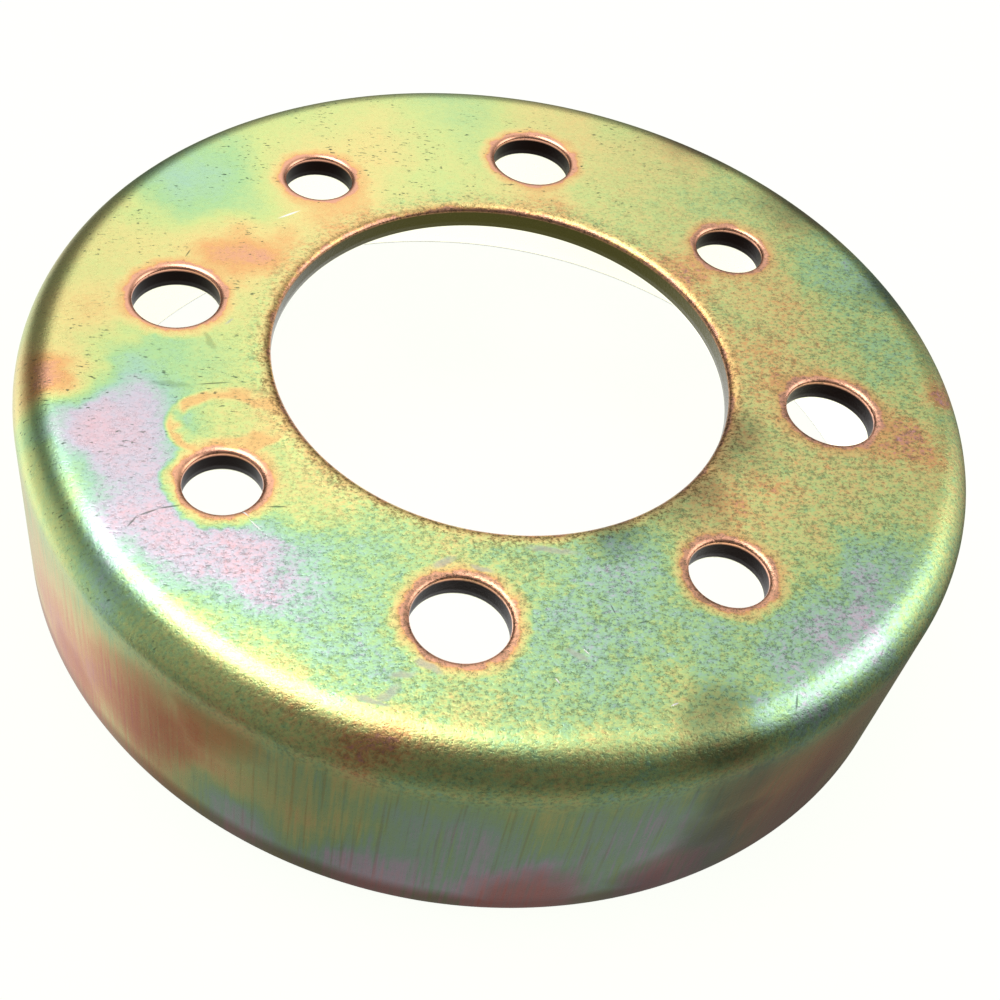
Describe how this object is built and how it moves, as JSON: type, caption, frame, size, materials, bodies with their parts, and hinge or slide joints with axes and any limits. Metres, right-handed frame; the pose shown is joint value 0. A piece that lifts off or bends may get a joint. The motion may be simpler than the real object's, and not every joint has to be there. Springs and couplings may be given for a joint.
{
  "type": "pressed steel drum",
  "caption": "Shallow round steel cup pressed from sheet, with a large centre hole in its web and two sets of bolt holes around it, zinc plated with a yellow passivate.",
  "frame": {"origin": "centre of the plane of the open edge, on the drum's axis", "axes": "+Z along the drum's axis, from the open edge towards the web; +X through the centre of one large bolt hole"},
  "size_m": [0.1142, 0.1142, 0.028],
  "materials": {
    "yellow_zinc": "bright zinc plate with an iridescent yellow passivate, semi-gloss"
  },
  "bodies": {
    "root": {"drum": "yellow_zinc"}
  },
  "joints": []
}
